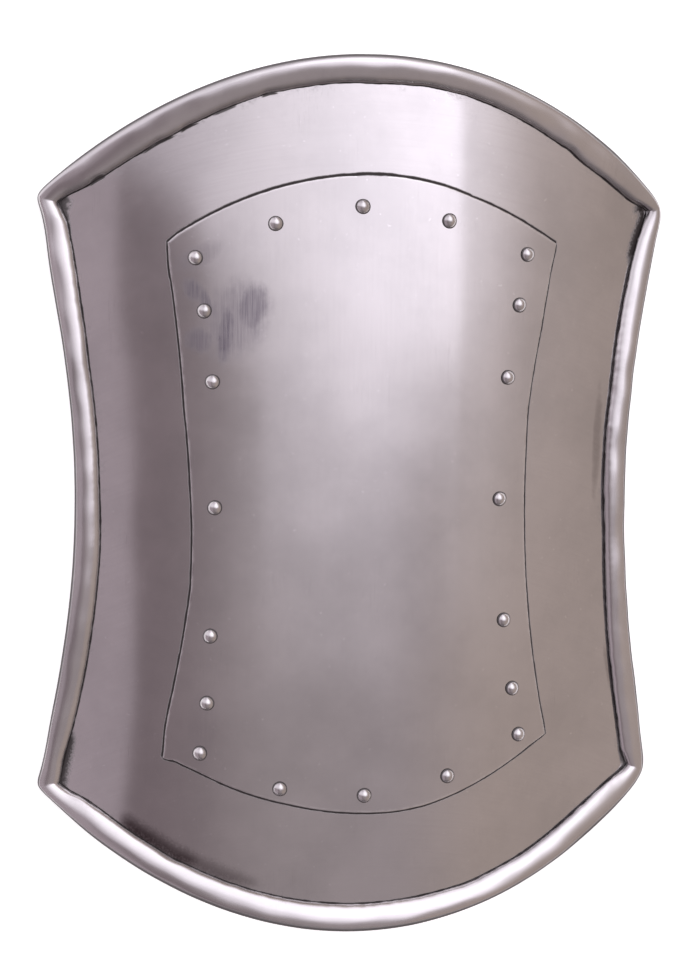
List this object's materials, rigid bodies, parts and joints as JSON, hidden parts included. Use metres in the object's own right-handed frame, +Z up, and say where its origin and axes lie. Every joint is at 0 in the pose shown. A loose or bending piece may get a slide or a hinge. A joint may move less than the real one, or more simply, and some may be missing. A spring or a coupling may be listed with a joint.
{
  "type": "rectangular buckler",
  "caption": "Rectangular steel buckler: a curved, waisted sheet with a rolled edge, a riveted front plate and a strap hand grip in its hollow back.",
  "frame": {"origin": "centre of the bounding box in plan, on the surface that the face-up shield lies on", "axes": "+Z up out of the front face, +Y along the long side towards the top arch, +X to the right as seen from the front"},
  "size_m": [0.3402, 0.4622, 0.0478],
  "materials": {
    "body_steel": "old polished sheet steel, lilac grey, with fine scratches, dark specks and grime along the rolled edge",
    "plate_steel": "old polished sheet steel with filed edges and a dark line round it",
    "rivet_steel": "hand-finished domed heads, dark round the seat",
    "grip_steel": "plain dark hammered strap"
  },
  "bodies": {
    "root": {"body": "body_steel", "front_plate": "plate_steel", "grip": "grip_steel", "rivet_top_1": "rivet_steel", "rivet_top_2": "rivet_steel", "rivet_top_3": "rivet_steel", "rivet_top_4": "rivet_steel", "rivet_top_5": "rivet_steel", "rivet_bottom_1": "rivet_steel", "rivet_bottom_2": "rivet_steel", "rivet_bottom_3": "rivet_steel", "rivet_bottom_4": "rivet_steel", "rivet_bottom_5": "rivet_steel", "rivet_left_1": "rivet_steel", "rivet_left_2": "rivet_steel", "rivet_left_3": "rivet_steel", "rivet_left_4": "rivet_steel", "rivet_left_5": "rivet_steel", "rivet_right_1": "rivet_steel", "rivet_right_2": "rivet_steel", "rivet_right_3": "rivet_steel", "rivet_right_4": "rivet_steel", "rivet_right_5": "rivet_steel"}
  },
  "joints": []
}
